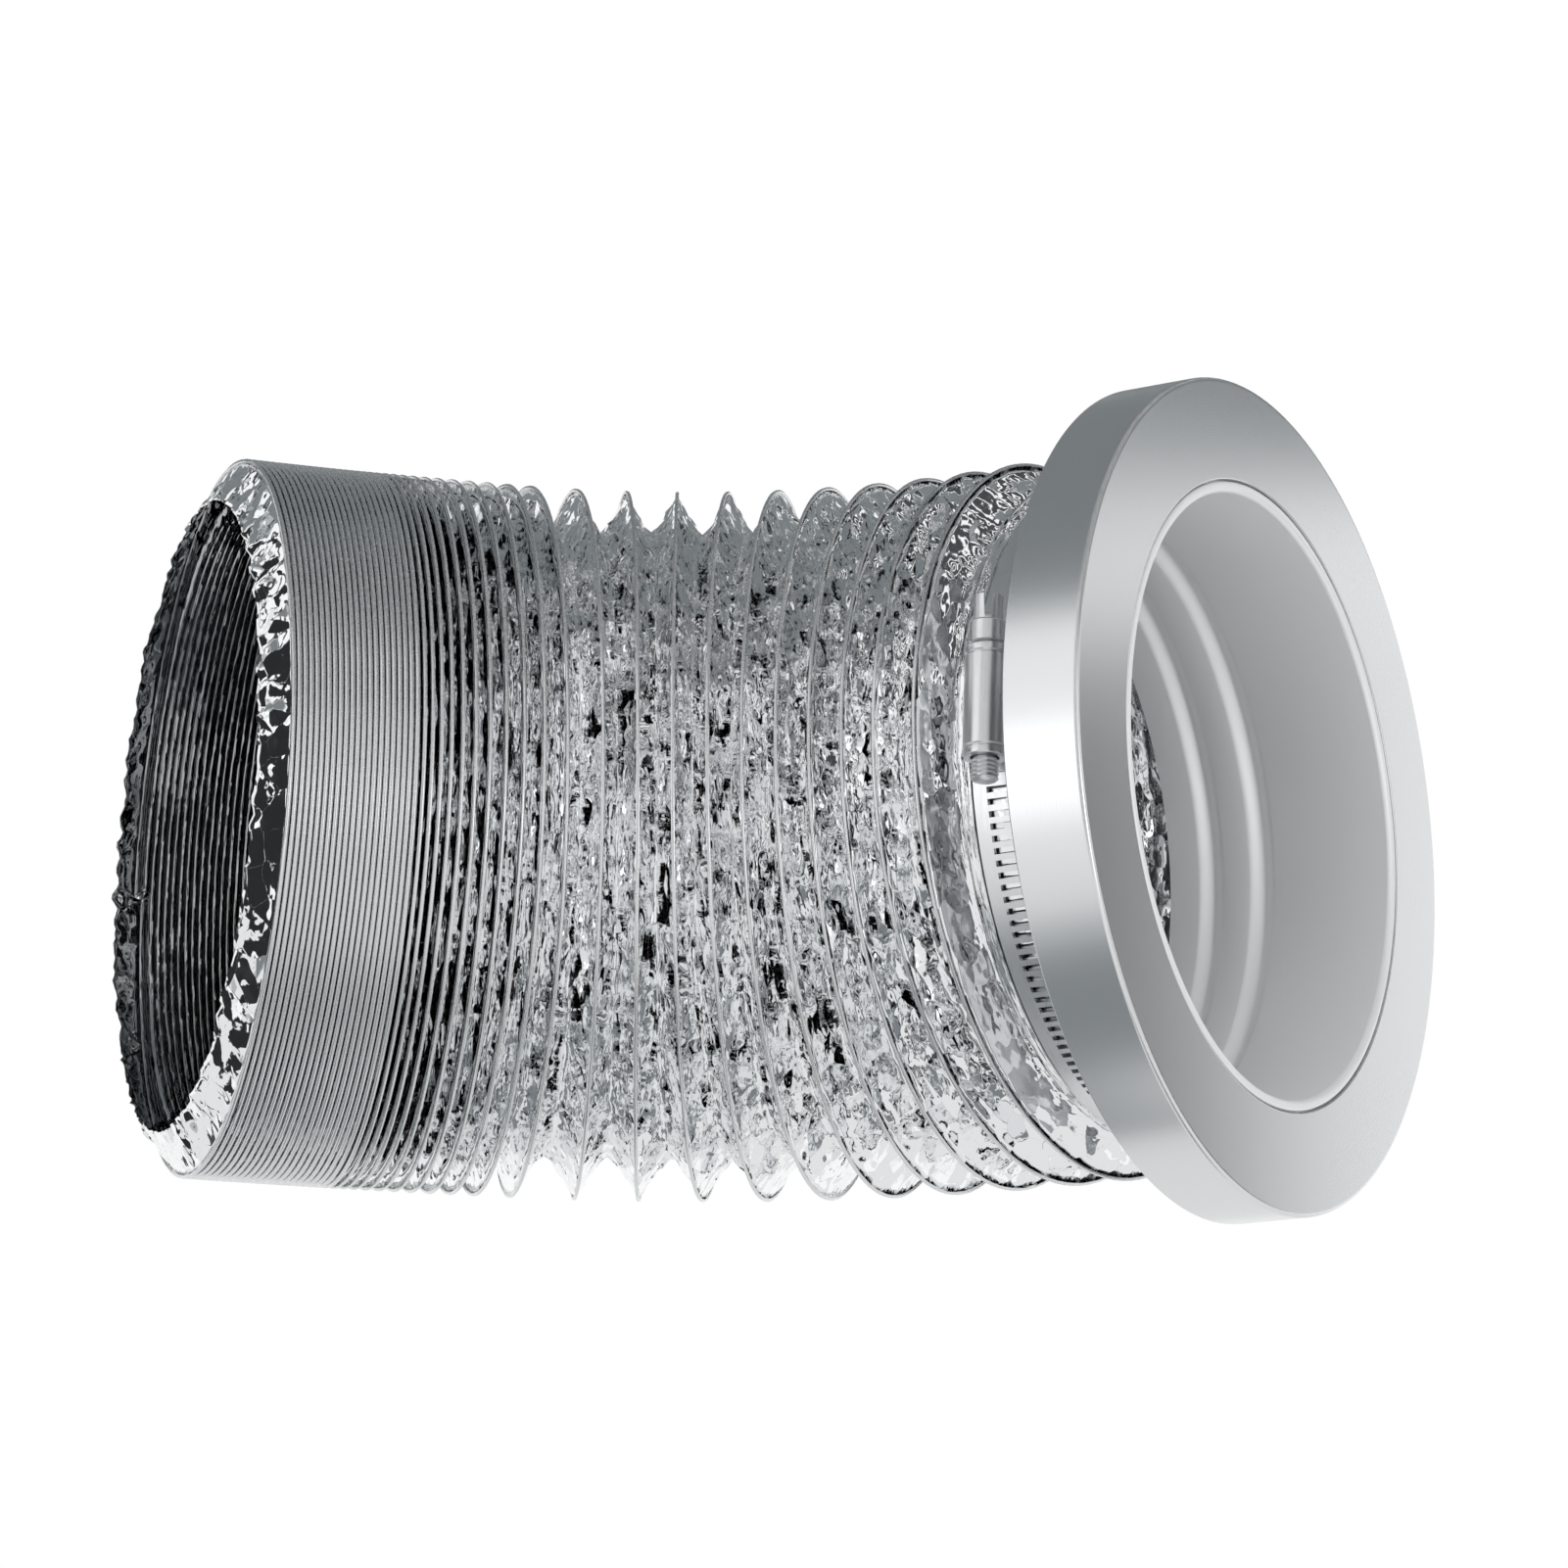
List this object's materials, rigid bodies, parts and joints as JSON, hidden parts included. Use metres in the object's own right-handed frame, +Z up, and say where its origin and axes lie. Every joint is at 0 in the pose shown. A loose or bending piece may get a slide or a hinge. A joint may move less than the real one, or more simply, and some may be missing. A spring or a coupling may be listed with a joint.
{
  "type": "flexible air duct",
  "caption": "Pleated foil air duct on a steel rib wire, clamped on the beaded collar of a round wall flange; it bends, stretches and stays where it is put.",
  "frame": {"origin": "centre of the flange's face, in the plane of the wall", "axes": "+X out of the flange's face into the wall, +Z up, the duct runs along -X and bends towards -Y"},
  "size_m": [0.1752, 0.1512, 0.1168],
  "materials": {
    "flange": "satin",
    "collar": "satin",
    "foil": "crumpled, bright",
    "wire": "drawn",
    "clamp": "bright",
    "screw": "bright"
  },
  "bodies": {
    "flange": {"flange_plate": "flange", "collar": "collar", "cuff_foil": "foil", "clamp_band": "clamp", "clamp_saddle": "clamp", "clamp_housing": "clamp"},
    "screw": {"clamp_screw": "screw"},
    "elbow": {"foil_side_bend": "foil", "wire_side_bend": "wire"},
    "neck": {"foil_up_bend": "foil", "wire_up_bend": "wire"},
    "mouth": {"foil_stretch": "foil", "wire_stretch": "wire", "foil_packed": "foil", "wire_packed": "wire"}
  },
  "joints": [
    {"name": "screw_turn", "type": "hinge", "parent": "flange", "child": "screw", "pos_m": [-0.0175, -0.05033, 0.00264], "axis": [0, 0.0523, 0.9986], "continuous": true},
    {"name": "bend_side", "type": "hinge", "parent": "flange", "child": "elbow", "pos_m": [-0.04546, -0.00087, 0], "axis": [0, 0, 1], "range_deg": [-20, 8], "deforming": ["foil_side_bend", "wire_side_bend"]},
    {"name": "bend_up", "type": "hinge", "parent": "elbow", "child": "neck", "pos_m": [-0.08519, -0.01371, 0], "axis": [-0.4795, 0.8775, 0], "range_deg": [-15, 15], "deforming": ["foil_up_bend", "wire_up_bend"]},
    {"name": "stretch", "type": "slide", "parent": "neck", "child": "mouth", "axis": [-0.6833, -0.7301, 0], "range_m": [-0.004, 0.04], "deforming": ["foil_stretch", "wire_stretch"]}
  ]
}
